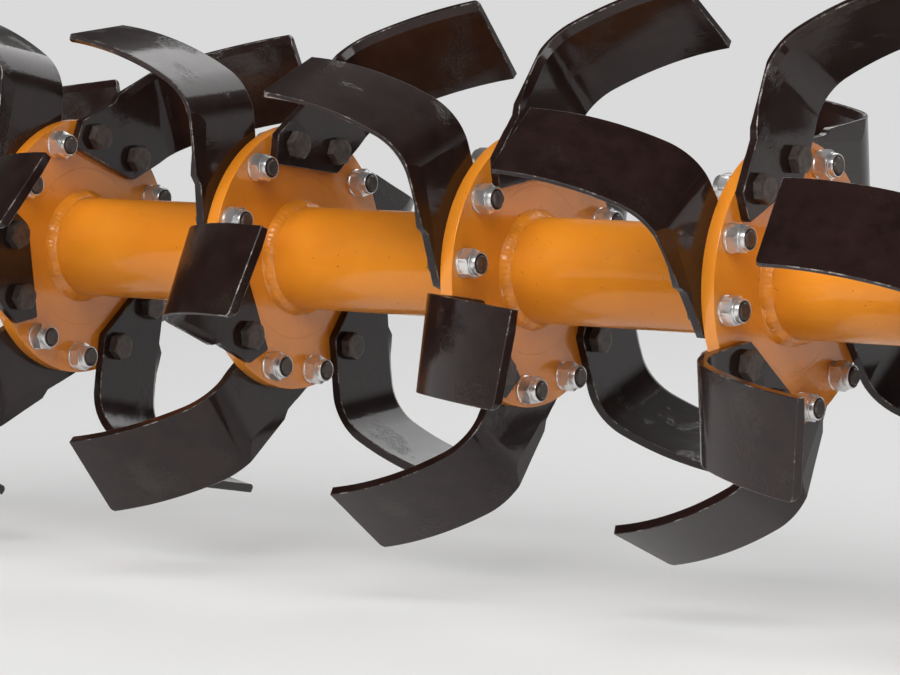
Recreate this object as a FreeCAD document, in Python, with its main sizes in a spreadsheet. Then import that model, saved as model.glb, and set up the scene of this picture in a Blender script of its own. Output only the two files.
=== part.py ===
import FreeCAD, Part
import os

# Blade rotor of a rotary tiller: a tube with six bolted-on blade flanges, carried by a stub
# shaft and a flanged bearing housing at each end.
# Millimetres. X runs along the rotor axis, Z is up, and the origin is the centre of the
# left bearing housing's mounting face. The rotor turns so that +Y moves towards +Z.

# Driving dimensions: alias, value in mm or degrees, what it is
DIMENSIONS = [
    ("tube_radius", 44.45, "outside radius of the rotor tube"),
    ("tube_wall", 8, "wall of the rotor tube"),
    ("span", 1550, "distance between the two mounting faces"),
    ("flange_count", 6, "blade flanges on the tube"),
    ("flange_pitch", 254, "distance from one blade flange to the next"),
    ("flange_radius", 115, "outside radius of a blade flange"),
    ("flange_thick", 12, "plate of a blade flange"),
    ("weld_face", 6, "leg on the plate of the fillet welds round the tube"),
    ("weld_run", 9, "leg of those welds along the tube"),
    ("flange_phase", -7.7, "angle of the first flange's first left-hand blade"),
    ("helix_step", 15, "turn from one flange to the next"),
    ("bolt_circle", 100, "radius of the blade bolts' circle"),
    ("bolt_half_gap", 28, "half the distance between a blade's two bolts"),
    ("blade_bolt_hole", 7.5, "radius of a blade bolt's hole"),
    ("bar_width", 80, "width of the blade's flat bar"),
    ("bar_thick", 8, "thickness of the blade's flat bar"),
    ("bar_angle", 48, "sweep of the blade's leg behind the radius"),
    ("bar_offset", 36.5, "trailing edge of the bar, beside the rotor axis"),
    ("bar_skew", 5.9, "drift of the foot towards the leading edge"),
    ("leg_length", 126, "end of the straight leg, along the bar"),
    ("bend_radius", 50, "outside radius of the tight bend"),
    ("bend_turn", 58, "turn of the tight bend"),
    ("foot_radius", 260, "outside radius of the foot's long sweep"),
    ("foot_turn", 25.5, "turn of the foot's long sweep"),
    ("foot_chord_lean", 20, "lean of the foot's chord, off the rotor axis"),
    ("root_radius", 77, "inner end of the blade's leg"),
    ("root_lead", 51, "leading corner of the blade's root"),
    ("root_step", 4.5, "how far the root's leading edge stands back"),
    ("root_step_end", 76, "end of the stepped root, along the bar"),
    ("root_step_slope", 30, "how steeply the step comes up to the leading edge"),
    ("grind_start", 60, "start of the ground leading edge, along the bar"),
    ("grind_width", 8, "ground flat at its start, across the bar"),
    ("grind_flare", 7.6, "how steeply that flat widens, off the leading edge"),
    ("grind_tilt", 6, "tilt of that flat, off the bar's outer face"),
    ("tip_round", 8, "rounding of the foot's leading corner"),
    ("seat_radius", 75, "radius of the bolted end flanges"),
    ("seat_thick", 14, "plate of the bolted end flanges"),
    ("seat_start", 70, "first face of the stub shaft's flange, from the mounting face"),
    ("seat_bolt_circle", 60, "radius of the end flanges' bolt circle"),
    ("seat_bolt_hole", 6.6, "radius of an end flange's bolt hole"),
    ("seat_bolts", 8, "bolts in an end flange"),
    ("journal_radius", 22.5, "stub shaft in its bearing"),
    ("journal_gap", 0.05, "running clearance of the journal"),
    ("journal_chamfer", 2, "chamfer on the shafts' ends"),
    ("collar_radius", 31, "shoulder of the stub shaft"),
    ("collar_length", 3, "shoulder beside the stub shaft's flange"),
    ("drive_radius", 20, "drive end of the stub shaft"),
    ("drive_length", 80, "drive end beyond the mounting face"),
    ("key_width", 12, "keyway in the drive end"),
    ("key_depth", 5, "depth of the keyway"),
    ("key_length", 30, "keyway, from the shaft's end to the centre of its rounded end"),
    ("housing_radius", 92, "mounting flange of a bearing housing"),
    ("housing_thick", 14, "plate of the mounting flange"),
    ("housing_bolt_circle", 75, "radius of the mounting bolts' circle"),
    ("housing_bolt_hole", 6.6, "radius of a mounting bolt's hole"),
    ("housing_bolts", 6, "bolts in a mounting flange"),
    ("housing_edge", 3, "chamfer round the mounting flange"),
    ("barrel_radius", 44, "barrel of a bearing housing"),
    ("barrel_draft", 8, "how much wider the barrel is at its foot"),
    ("barrel_end", 62, "inner end of the barrel, from the mounting face"),
    ("seal_radius", 36, "seat of the shaft seal, in the barrel's end"),
    ("seal_depth", 4, "depth of that seat"),
    ("rib_thick", 9, "ribs between the barrel and the mounting flange"),
    ("rib_foot", 84, "where a rib meets the mounting flange"),
    ("rib_end", 48, "where a rib runs out on the barrel, from the mounting face"),
    ("boss_radius", 9, "boss for the grease nipple"),
    ("boss_height", 58, "face of that boss, from the rotor axis"),
    ("boss_place", 40, "middle of that boss, from the mounting face"),
    ("spigot_radius", 55, "pilot that centres the housing in its plate"),
    ("spigot_length", 10, "how far the pilot stands out"),
    ("cap_radius", 44, "end cap and seal cover"),
    ("cap_length", 16, "how far the end cap stands out of the pilot"),
    ("cap_wall", 4, "wall of the end cap"),
    ("cap_edge", 5, "taper round the end cap's rim"),
]
SHEET = "Dims"

doc = FreeCAD.newDocument("blade_rotor")
values = {alias: float(number) for alias, number, _ in DIMENSIONS}


def fill_sheet():
    sheet = doc.addObject("Spreadsheet::Sheet", SHEET)
    for row, (alias, number, meaning) in enumerate(DIMENSIONS, start=1):
        sheet.set(f"A{row}", alias)
        sheet.set(f"B{row}", str(number))
        sheet.set(f"C{row}", meaning)
        sheet.setAlias(f"B{row}", alias)
    doc.recompute()


def cells(text):
    """Point each {alias} in an expression at its cell."""
    return text.format(**{alias: f"{SHEET}.{alias}" for alias in values})


def vector(x, y, z):
    return f"create(<<vector>>; {x}; {y}; {z})"


def about(axis, angle):
    directions = {"x": (1, 0, 0), "y": (0, 1, 0), "z": (0, 0, 1)}
    return f"create(<<rotation>>; {vector(*directions[axis])}; {angle})"


def placed(x, y, z, turn=None):
    return f"create(<<placement>>; {vector(x, y, z)}; {turn or about('x', 0)})"


def bind(thing, **expressions):
    for prop, text in expressions.items():
        thing.setExpression(prop, cells(str(text)))
    return thing


def box(name, length, width, height, at):
    return bind(doc.addObject("Part::Box", name), Length=length, Width=width, Height=height, Placement=at)


def disc(name, radius, start, end, y="0", z="0"):
    """A cylinder about an axis parallel to X, from start to end."""
    thing = doc.addObject("Part::Cylinder", name)
    return bind(thing, Radius=radius, Height=f"({end}) - ({start})", Placement=placed(start, y, z, about("y", 90)))


def cone(name, radius_start, radius_end, start, end):
    thing = doc.addObject("Part::Cone", name)
    return bind(thing, Radius1=radius_start, Radius2=radius_end, Height=f"({end}) - ({start})",
                Placement=placed(start, 0, 0, about("y", 90)))


def sector(name, radius, height, turn, at):
    thing = doc.addObject("Part::Cylinder", name)
    return bind(thing, Radius=radius, Height=height, Angle=turn, Placement=at)


def fuse(name, pieces):
    thing = doc.addObject("Part::MultiFuse", name)
    thing.Shapes = pieces
    thing.Refine = True
    return thing


def cut(name, base, tool):
    thing = doc.addObject("Part::Cut", name)
    thing.Base = base
    thing.Tool = tool
    thing.Refine = True
    return thing


def common(name, pieces):
    thing = doc.addObject("Part::MultiCommon", name)
    thing.Shapes = pieces
    thing.Refine = True
    return thing


def rounded(name, base, middle, radius):
    """A piece with one edge rounded, the one whose middle is given."""
    edges = base.Shape.Edges
    distances = [edge.CenterOfMass.distanceToPoint(middle) for edge in edges]
    thing = doc.addObject("Part::Fillet", name)
    thing.Base = base
    thing.Edges = [(distances.index(min(distances)) + 1, radius, radius)]
    return thing


def mirrored(name, source, base_x="0"):
    """The same piece on the other hand, across the plane at base_x."""
    thing = doc.addObject("Part::Mirroring", name)
    thing.Source = source
    thing.Normal = (1, 0, 0)
    bind(thing, **{"Base.x": base_x})
    return thing


def ring_of_holes(name, radius, circle, count, start, end):
    """Drills parallel to X, evenly spaced on a circle."""
    drills = []
    for number in range(int(values[count])):
        angle = f"{number} * 360 / {{{count}}} + 180 / {{{count}}}"
        y = f"{circle} * cos({angle})"
        z = f"{circle} * sin({angle})"
        drills.append(disc(f"{name}_{number + 1}", radius, start, end, y, z))
    return drills


# Blades
# Blade frame: X away from the flange face, Y along the radius, Z towards the leading side.
# Bar frame: the same turned by the bar angle, so that Y runs down the leg.

WIDE = 300          # longer than any blade, for tools that cut right through
GRIND_STOCK = 30    # size of the tool that grinds the leading edge
DRIFT_REACH = 150   # from the foot's tip back to where the bar's offset is measured


def blade_profile():
    """Edge view of the bent bar, wide enough to be trimmed: leg, tight bend, long sweep."""
    low = "{bar_offset} - 60"
    high = "{bar_width} + 160"
    leg = box("leg", "{bar_thick}", "{leg_length}", high, placed(0, 0, low))
    end_x = "-cos({bend_turn})"
    end_y = "sin({bend_turn})"
    bend_at = placed("{bend_radius}", "{leg_length}", low, about("z", "180 - {bend_turn}"))
    step = "({bend_radius} - {foot_radius})"
    foot_at = placed(f"{{bend_radius}} + {step} * ({end_x})", f"{{leg_length}} + {step} * {end_y}", low,
                     about("z", "180 - {bend_turn} - {foot_turn}"))
    pieces = [leg]
    for name, radius, turn, at in (("bend", "{bend_radius}", "{bend_turn}", bend_at),
                                   ("foot", "{foot_radius}", "{foot_turn}", foot_at)):
        outer = sector(f"{name}_outer", radius, high, turn, at)
        inner = sector(f"{name}_inner", f"{radius} - {{bar_thick}}", high, turn, at)
        pieces.append(cut(name, outer, inner))
    return fuse("bar_profile", pieces)


def foot_tip():
    """Outer point of the foot's end, in the bar frame's edge view."""
    turned = "({bend_turn} + {foot_turn})"
    step = "({bend_radius} - {foot_radius})"
    x = f"({{bend_radius}} - {step} * cos({{bend_turn}}) - {{foot_radius}} * cos({turned}))"
    y = f"({{leg_length}} + {step} * sin({{bend_turn}}) + {{foot_radius}} * sin({turned}))"
    return x, y


def lead_edge(y):
    """Where the leg's leading edge is at a place along the bar: the whole bar drifts that way."""
    tip_x, tip_y = foot_tip()
    along = f"(({y} - {tip_y}) * sin({{foot_chord_lean}}) - {tip_x} * cos({{foot_chord_lean}}))"
    return f"({{bar_offset}} + {{bar_width}} / cos({{bar_skew}}) + tan({{bar_skew}}) * ({DRIFT_REACH} + {along}))"


def blade_trim():
    """The bar's own width and length: a slab in line with the foot, ending at its tip, with the
    leading corner of that end rounded."""
    drift = f"tan({{bar_skew}}) * {DRIFT_REACH}"
    turn = "create(<<rotation>>; {foot_chord_lean}; -{bar_skew}; 0)"
    corner = placed(*foot_tip(), f"{{bar_offset}} + {drift}", turn)
    back = placed(f"-{WIDE}", f"-{WIDE}", 0)
    slab = box("bar_slab", str(WIDE), str(2 * WIDE), "{bar_width}", f"{corner} * {back}")
    doc.recompute()
    middle = slab.Placement.multVec(FreeCAD.Vector(WIDE, WIDE, values["bar_width"]))
    return rounded("bar_slab_rounded", slab, middle, values["tip_round"])


def leg_work():
    """What is taken off the leg's leading edge: a sloping step at the root, and a ground flat on
    the outer face that starts above the step and runs out in the bend."""
    step_face = lead_edge("{root_step_end}") + " - {root_step}"
    step_end = placed(-WIDE / 2, "{root_step_end}", step_face)
    before = placed(0, "-{root_step_end}", 0)
    step = box("root_notch", str(WIDE), "{root_step_end}", str(WIDE), f"{step_end} * {before}")
    climb = placed(0, 0, 0, about("x", "{root_step_slope}"))
    ramp = box("root_ramp", str(WIDE), "{root_step_end}", "{bar_width}", f"{step_end} * {climb}")
    slope = about("x", "atan(tan({bar_skew}) * sin({foot_chord_lean})) - {grind_flare} * 1 deg")
    line = placed(0, "{grind_start}", lead_edge("{grind_start}") + " - {grind_width}", slope)
    tilted = placed(0, 0, 0, about("y", "{grind_tilt}"))
    back = placed(-GRIND_STOCK, 0, 0)
    flat = box("ground_flat", str(GRIND_STOCK), "{leg_length}", str(GRIND_STOCK), f"{line} * {tilted} * {back}")
    return fuse("leg_work", [step, ramp, flat])


def blade():
    bar = cut("worked_bar", common("bent_bar", [blade_profile(), blade_trim()]), leg_work())
    bind(bar, Placement=placed(0, 0, 0, about("x", "-{bar_angle}")))
    inner_end = box("root_trim", str(WIDE), "{root_radius}", str(WIDE), placed(-WIDE / 2, 0, -WIDE / 2))
    corner = box("lead_trim", str(WIDE), str(WIDE), str(WIDE), placed(-WIDE / 2, 0, "{root_lead}"))
    radial = "sqrt({bolt_circle} ^ 2 - {bolt_half_gap} ^ 2)"
    tools = [inner_end, corner]
    for side in (-1, 1):
        tools.append(disc(f"blade_hole_{side + 2}", "{blade_bolt_hole}", -WIDE / 2, WIDE / 2,
                          radial, f"{side} * {{bolt_half_gap}}"))
    return cut("blade_right_hand", bar, fuse("blade_tools", tools))


def blade_flange():
    """A drilled disc welded on the tube: six pairs of holes, one pair to a blade."""
    face = "{flange_thick} / 2"
    root = "{tube_radius} + {weld_face}"
    solid = fuse("flange_solid", [
        cone("flange_weld_left", "{tube_radius}", root, f"-{face} - {{weld_run}}", f"-{face}"),
        disc("flange_plate", "{flange_radius}", f"-{face}", face),
        cone("flange_weld_right", root, "{tube_radius}", face, f"{face} + {{weld_run}}"),
    ])
    bore = disc("flange_bore", "{tube_radius}", "-2 * {flange_thick}", "2 * {flange_thick}")
    half = "asin({bolt_half_gap} / {bolt_circle})"
    drills = [bore]
    for pair in range(6):
        for side in (-1, 1):
            angle = f"({pair * 60} deg + {side} * {half})"
            drills.append(disc(f"flange_drill_{pair + 1}_{side + 2}", "{blade_bolt_hole}",
                               "-{flange_thick}", "{flange_thick}",
                               f"{{bolt_circle}} * cos({angle})", f"{{bolt_circle}} * sin({angle})"))
    return cut("flange_master", solid, fuse("flange_tools", drills))


def rotor_tube():
    """Plain tube between the two end flanges."""
    start = "{seat_start} + 2 * {seat_thick}"
    end = "{span} - {seat_start} - 2 * {seat_thick}"
    outside = disc("tube_outside", "{tube_radius}", start, end)
    inside = disc("tube_inside", "{tube_radius} - {tube_wall}", start, end)
    return cut("rotor_tube", outside, inside)


def end_flange():
    """Disc welded on the tube's end, drilled for the stub shaft's bolts."""
    start = "{seat_start} + {seat_thick}"
    end = "{seat_start} + 2 * {seat_thick}"
    toe = f"{end} + {{weld_run}}"
    plate = disc("end_plate", "{seat_radius}", start, end)
    weld = cone("end_weld", "{tube_radius} + {weld_face}", "{tube_radius}", end, toe)
    drills = ring_of_holes("end_drill", "{seat_bolt_hole}", "{seat_bolt_circle}", "seat_bolts", start, toe)
    drills.append(disc("end_weld_bore", "{tube_radius}", end, toe))
    return cut("left_end_flange", fuse("end_solid", [plate, weld]), fuse("end_tools", drills))


def shaft_end(name, radius, start, end):
    """A length of shaft whose start is chamfered."""
    shoulder = f"{start} + {{journal_chamfer}}"
    return [cone(f"{name}_chamfer", f"{radius} - {{journal_chamfer}}", radius, start, shoulder),
            disc(name, radius, shoulder, end)]


def keyway():
    """Slot for the drive key, open at the shaft's end and round at the other."""
    floor = "{drive_radius} - {key_depth}"
    half = "{key_width} / 2"
    slot = box("key_slot", "{key_length}", "{key_width}", "{key_width}",
               placed("-{drive_length}", f"-{half}", floor))
    end = sector("key_end", half, "{key_width}", 360, placed("-{drive_length} + {key_length}", 0, floor))
    return [slot, end]


def stub_shaft(name, journal, tools):
    """Bolted flange with a shoulder, then whatever journal the side needs."""
    start = "{seat_start}"
    end = "{seat_start} + {seat_thick}"
    plate = disc(f"{name}_plate", "{seat_radius}", start, end)
    collar = disc(f"{name}_collar", "{collar_radius}", "{seat_start} - {collar_length}", start)
    solid = fuse(f"{name}_solid", [plate, collar] + journal)
    drills = ring_of_holes(f"{name}_drill", "{seat_bolt_hole}", "{seat_bolt_circle}", "seat_bolts", start, end)
    return cut(name, solid, fuse(f"{name}_tools", drills + tools))


def housing_ribs():
    """Six webs from the barrel down to the mounting flange, each pair one plate across the axis."""
    plates = []
    for number in range(3):
        middle = placed("{housing_thick}", 0, 0, about("x", number * 60))
        corner = placed(0, "-{rib_thick} / 2", "-{rib_foot}")
        plates.append(box(f"rib_{number + 1}", "{rib_end} - {housing_thick}", "{rib_thick}", "2 * {rib_foot}",
                          f"{middle} * {corner}"))
    slope = cone("rib_slope", "{rib_foot}", "{barrel_radius}", "{housing_thick}", "{rib_end}")
    return common("housing_ribs", [fuse("rib_plates", plates), slope])


def bearing_housing():
    """Mounting flange, pilot and tapered barrel with ribs and a boss for the grease nipple, bored
    for the journal and its seal."""
    rim = "{housing_thick} - {housing_edge}"
    solid = fuse("housing_solid", [
        disc("housing_plate", "{housing_radius}", 0, rim),
        cone("housing_rim", "{housing_radius}", "{housing_radius} - {housing_edge}", rim, "{housing_thick}"),
        disc("housing_pilot", "{spigot_radius}", "-{spigot_length}", 0),
        cone("housing_barrel", "{barrel_radius} + {barrel_draft}", "{barrel_radius}",
             "{housing_thick}", "{barrel_end}"),
        housing_ribs(),
        sector("nipple_boss", "{boss_radius}", "{boss_height}", 360, placed("{boss_place}", 0, 0)),
    ])
    drills = ring_of_holes("housing_drill", "{housing_bolt_hole}", "{housing_bolt_circle}", "housing_bolts",
                           0, "{housing_thick}")
    bore = disc("housing_bore", "{journal_radius} + {journal_gap}", "-2 * {spigot_length}", "{barrel_end} + 1")
    seat = disc("seal_seat", "{seal_radius}", "{barrel_end} - {seal_depth}", "{barrel_end} + 1")
    return cut("left_bearing_housing", solid, fuse("housing_tools", drills + [bore, seat]))


def end_cap():
    """Cup over the idle shaft's end, tapered round its rim."""
    start = "-{spigot_length} - {cap_length}"
    outside = fuse("cap_outside", [
        cone("cap_taper", "{cap_radius} - {cap_edge}", "{cap_radius}", start, f"{start} + {{cap_edge}}"),
        disc("cap_wall_outside", "{cap_radius}", f"{start} + {{cap_edge}}", "-{spigot_length}"),
    ])
    inside = disc("cap_inside", "{cap_radius} - {cap_wall}", f"{start} + {{cap_wall}}", "-{spigot_length}")
    return cut("left_end_cap", outside, inside)


def seal_cover():
    """Flat ring round the drive shaft, clear of it all round."""
    outside = disc("cover_outside", "{cap_radius}", "{span} + {spigot_length}",
                   "{span} + {spigot_length} + {cap_wall}")
    inside = disc("cover_inside", "{drive_radius} + 5.5", "{span}", "{span} + 3 * {spigot_length}")
    return cut("right_seal_cover", outside, inside)


def link(name, master, x, angle="0"):
    """One more of a piece, moved along the rotor and turned about it."""
    thing = doc.addObject("App::Link", name)
    thing.setLink(master)
    thing.Placement = FreeCAD.Placement(FreeCAD.Vector(), FreeCAD.Rotation(FreeCAD.Vector(1, 0, 0), 1))
    bind(thing, **{"Placement.Base.x": x, "Placement.Rotation.Angle": angle})
    return thing


def bladed_flanges():
    """Flanges along the tube, each turned by the helix step, with left and right blades in turn."""
    flange = blade_flange()
    hands = {"right": blade()}
    hands["left"] = mirrored("blade_left_hand", hands["right"])
    count = int(values["flange_count"])
    nodes = []
    for number in range(count):
        middle = f"{{span}} / 2 + ({number} - ({{flange_count}} - 1) / 2) * {{flange_pitch}}"
        phase = f"{{flange_phase}} + {number} * {{helix_step}}"
        nodes.append(link(f"blade_flange_{number + 1}", flange, middle, phase))
        for side, sign, lag in (("left", "-", 0), ("right", "+", 60)):
            outward = (number == 0 and side == "left") or (number == count - 1 and side == "right")
            if outward:
                continue
            for turn in range(3):
                nodes.append(link(f"blade_{number + 1}_{side}_{turn + 1}", hands[side],
                                  f"{middle} {sign} {{flange_thick}} / 2", f"{phase} + {lag} + {turn} * 120"))
    return nodes


def build():
    fill_sheet()
    half_span = "{span} / 2"
    shoulder = "{seat_start} - {collar_length}"
    idle = shaft_end("idle_journal", "{journal_radius}", "0", shoulder)
    driven = shaft_end("drive_end", "{drive_radius}", "-{drive_length}", "0")
    driven.append(disc("driven_journal", "{journal_radius}", 0, shoulder))
    left_flange = end_flange()
    left_housing = bearing_housing()
    nodes = [left_housing, end_cap(), stub_shaft("left_stub_shaft", idle, []), left_flange, rotor_tube()]
    nodes += bladed_flanges()
    nodes += [
        mirrored("right_end_flange", left_flange, half_span),
        mirrored("drive_stub_shaft", stub_shaft("drive_shaft_master", driven, keyway()), half_span),
        mirrored("right_bearing_housing", left_housing, half_span),
        seal_cover(),
    ]
    doc.recompute()
    return nodes


def check_and_write(nodes):
    os.makedirs("parts", exist_ok=True)
    for thing in doc.Objects:
        if "Invalid" in thing.State or "Error" in thing.State:
            raise RuntimeError(f"{thing.Name} failed: {thing.State}")
    for node in nodes:
        shape = Part.getShape(node)
        if shape.isNull() or not shape.isValid() or len(shape.Solids) != 1:
            raise RuntimeError(f"{node.Name} has no single valid solid")
        shape.exportStep(f"parts/{node.Name}.step")
        print(f"{node.Name}: {shape.Volume / 1000:.1f} cm3, box {shape.BoundBox}")


check_and_write(build())
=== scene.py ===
import math
import random

import bmesh
import bpy
from mathutils import Matrix, Vector


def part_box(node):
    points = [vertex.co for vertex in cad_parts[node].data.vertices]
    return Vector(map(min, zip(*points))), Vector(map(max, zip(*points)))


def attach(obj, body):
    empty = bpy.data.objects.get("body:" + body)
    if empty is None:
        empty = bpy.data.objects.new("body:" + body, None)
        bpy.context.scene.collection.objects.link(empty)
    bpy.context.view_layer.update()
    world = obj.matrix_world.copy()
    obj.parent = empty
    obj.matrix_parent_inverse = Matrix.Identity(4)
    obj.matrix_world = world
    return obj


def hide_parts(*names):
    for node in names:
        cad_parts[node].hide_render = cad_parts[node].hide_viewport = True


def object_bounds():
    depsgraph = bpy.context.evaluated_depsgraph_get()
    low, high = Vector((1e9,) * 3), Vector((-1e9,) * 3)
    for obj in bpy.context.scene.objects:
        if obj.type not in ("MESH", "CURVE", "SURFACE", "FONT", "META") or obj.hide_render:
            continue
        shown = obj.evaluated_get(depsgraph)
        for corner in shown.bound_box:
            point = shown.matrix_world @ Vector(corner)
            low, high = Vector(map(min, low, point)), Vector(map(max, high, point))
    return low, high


# Looks of a rotary tiller's blade rotor: painted tube and flanges, enamelled blades with ground
# edges, zinc lock nuts and dark bolts, welds, and turned shaft ends.
# Metres throughout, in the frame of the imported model: X along the rotor, Z up.

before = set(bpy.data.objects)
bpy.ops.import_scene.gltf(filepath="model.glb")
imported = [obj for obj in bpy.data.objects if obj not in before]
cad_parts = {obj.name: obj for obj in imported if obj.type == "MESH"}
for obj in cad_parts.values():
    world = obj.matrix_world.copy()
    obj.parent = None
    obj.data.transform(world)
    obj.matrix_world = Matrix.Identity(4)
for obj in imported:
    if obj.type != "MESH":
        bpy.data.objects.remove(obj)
CAD_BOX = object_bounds()

MM = 0.001
SEED = 7

# Blade, in the frame of its bar: Y down the leg, Z towards the leading edge, X off the flange.
# A lane is a place across the bar, from its trailing edge to its leading one.
BAR_THICK = 8 * MM
BAR_WIDTH = 80 * MM
BAR_ANGLE = math.radians(48)
BAR_OFFSET = 36.5 * MM
BAR_SKEW = math.radians(5.9)
SKEW_REACH = 150 * MM
LEG_LENGTH = 126 * MM
BEND_RADIUS = 50 * MM
BEND_TURN = math.radians(58)
FOOT_RADIUS = 260 * MM
FOOT_TURN = math.radians(25.5)
CHORD_LEAN = math.radians(20)
ROOT_RADIUS = 77 * MM
ROOT_LEAD = 51 * MM
ROOT_TRIM = 0.9 * MM
ROOT_STEP = 4.5 * MM
ROOT_STEP_END = 76 * MM
ROOT_STEP_SLOPE = math.radians(30)
TIP_ROUND = 5 * MM
BLADE_EDGE = 0.7 * MM

# The flat ground on a blade's outer face, and the cutting edge ground on its inner face
GRIND_START = 60 * MM
GRIND_WIDTH = 8 * MM
GRIND_FLARE = math.radians(7.6)
GRIND_TILT = math.radians(6)
GRIND_FADE = 4 * MM
GRIND_RUN_OUT = math.radians(17)
CUTTING_START = 86 * MM
CUTTING_FADE = 20 * MM
CUTTING_SLOPE = math.tan(math.radians(30))

# Cuts of the blade's mesh: lanes across it, and steps along it and round its edges. Those of the
# bend and the edges are in degrees.
OUTER, INNER = 0, 1
WIDE_LANES = (BLADE_EDGE, 0.2 * BAR_WIDTH, 0.4 * BAR_WIDTH, 0.6 * BAR_WIDTH)
MID_LANE = 66 * MM          # stands in for the ground flat's lane where nothing is ground
EDGE_LANES = (73 * MM, 74.8 * MM, 76.3 * MM, 77.6 * MM, 78.6 * MM)
LAST_LANE = BAR_WIDTH - BLADE_EDGE
INNER_LANES = (*WIDE_LANES, MID_LANE, *EDGE_LANES, LAST_LANE)
EDGE_LANES_SHARE = 0.85     # how much of a narrow ground flat the edge lanes may take
EDGE_TURNS = (30, 60, 90)
BEND_FINE, BEND_COARSE = 3, 5
BEND_STEPS = (*range(0, 18, BEND_FINE), *range(18, 54, BEND_COARSE))
FOOT_STEPS = 14
BLADE_CREASE = 50
BAR_PLACE = "bar_place"     # attribute for a point's place in its blade's own frame
PLACE_SPREAD = 5            # how far the enamel's pattern may move from blade to blade

# Columns of the blade's mesh, counted round its section
INNER_FIRST = len(INNER_LANES) + 2 * len(EDGE_TURNS)
GRIND_COLUMN = len(WIDE_LANES)
CUTTING_COLUMN = INNER_FIRST + len(EDGE_LANES)

# Places on the rotor, with angles in degrees
FLANGES = 6
FLANGE_THICK = 12 * MM
FLANGE_PHASE = -7.7
HELIX_STEP = 15
SIDE_LAG = 60
BOLT_CIRCLE = 100 * MM
BOLT_HALF_GAP = 28 * MM
GROOVE_RADIUS = 71 * MM
GROOVE_HALF = 0.45 * MM

# Fillet welds round the tube: up the face, along the tube, and how lumpy they are
WELD_FACE = 6 * MM
WELD_RUN = 9 * MM
WELD_SINK = 0.5 * MM
WELD_CROWN = 1.1 * MM
WELD_WAVES = 7
WAVE_COUNTS = (2, 15)
WAVE_SIZES = (0.15, 0.45)   # in millimetres
RIPPLE_PITCH = 4.5 * MM
RIPPLE_HEIGHT = 0.22 * MM
RIPPLE_STRAY = 3            # radians that a ripple moves for each millimetre of drift
RIPPLE_BOW = 1.8            # radians that it runs ahead in the middle of the weld
SWELL_DRIFT = 0.6           # how much higher the weld stands where it is wider
SWELL_OUT, SWELL_UP = 0.6, 0.75     # shares of the swell along the tube and off it
WELD_STEPS, WELD_LANES = 260, 9
WELD_CREASE = 60

# Blade bolts with lock nuts, and the end flanges' bolts: shank radius, across flats, head height,
# radius and height of the nut's foot ring, nut height to the collar, whole nut height, collar radius
BLADE_BOLT = {"shank": 7 * MM, "across": 22 * MM, "head": 8.8 * MM, "foot": 12 * MM, "ring": 2.4 * MM,
              "hex": 12.8 * MM, "nut": 18.4 * MM, "collar": 9.7 * MM}
SEAT_BOLT = {"shank": 6 * MM, "across": 18 * MM, "head": 7.5 * MM, "foot": 9.8 * MM, "ring": 1.8 * MM,
             "hex": 10 * MM, "nut": 14.4 * MM, "collar": 8.2 * MM}
BLADE_BOLT_ENDS = (0.6, 2.6)        # least and most that a bolt's end stands out, in millimetres
SEAT_BOLT_END = 1.5 * MM
SEAT_THICK = 14 * MM
SEAT_CIRCLE = 60 * MM
SEAT_BOLTS = 8
CHAMFER_SLOPE = math.tan(math.radians(28))
HEAD_FACE, NUT_FACE = 0.955, 0.96   # radius of the round face, as a share of half the width across
CLOSING = 0.2 * MM          # radius of the small ring at either end of a round piece
ROUND_STEPS, SEAL_STEPS = 48, 96
ROUND_CREASE = 38

# Bearing ends: shaft seal, grease nipple and key
SEAL_OUTER = 35.8 * MM
SEAL_INNER = 23.1 * MM
SEAL_DEPTH = 4 * MM
NIPPLE_BACK = 22 * MM
NIPPLE_HEIGHT = 58 * MM
NIPPLE_ACROSS = 9 * MM
NIPPLE_HEXAGON = 4.5 * MM
KEY_WIDTH = 12 * MM
KEY_HEIGHT = 8 * MM
KEY_FLOOR = 15 * MM
KEY_LENGTH = 30 * MM
KEY_GAP = 0.1 * MM
KEY_SET_BACK = 2 * MM

# Edges of the solids that stay
SOLID_EDGE = 0.6 * MM
KEY_EDGE = 0.5 * MM
EDGE_ANGLE = 40             # degrees from which an edge is rounded

# Colours. A pair holds the darkest and the lightest tone of one material.
BLACK = (0, 0, 0, 1)
WHITE = (1, 1, 1, 1)
ORANGE = ((0.62, 0.195, 0.012, 1), (0.72, 0.245, 0.016, 1))
SPECK = (0.20, 0.06, 0.008, 1)
BLADE_BLACK = ((0.0090, 0.0040, 0.0033, 1), (0.018, 0.0080, 0.0066, 1))
DUSTY_BLACK = (0.023, 0.0170, 0.0130, 1)
EDGE_BLACK = (0.016, 0.010, 0.009, 1)
BARE_EDGE = (0.44, 0.40, 0.37, 1)
ZINC_PLATE = ((0.75, 0.735, 0.72, 1), (0.84, 0.83, 0.82, 1))
BOLT_STEEL = ((0.038, 0.030, 0.027, 1), (0.105, 0.084, 0.074, 1))
SHAFT_STEEL = ((0.36, 0.36, 0.36, 1), (0.58, 0.58, 0.57, 1))
SEAL_BLACK = ((0.010, 0.010, 0.010, 1), (0.028, 0.027, 0.026, 1))
FLOOR_GREY = (0.86, 0.86, 0.857, 1)
COAT_ROUGHNESS = 0.05

# The view of the photograph, solved from it
PICTURE_PX = 900
FOCAL_PX = 3996.6
SENSOR = 36
CLIP_END = 200
CAMERA_PLACE = (2.8618, -2.6885, 0.2347)
CAMERA_DIP = 5.01
CAMERA_TURN = 37.23

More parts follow.
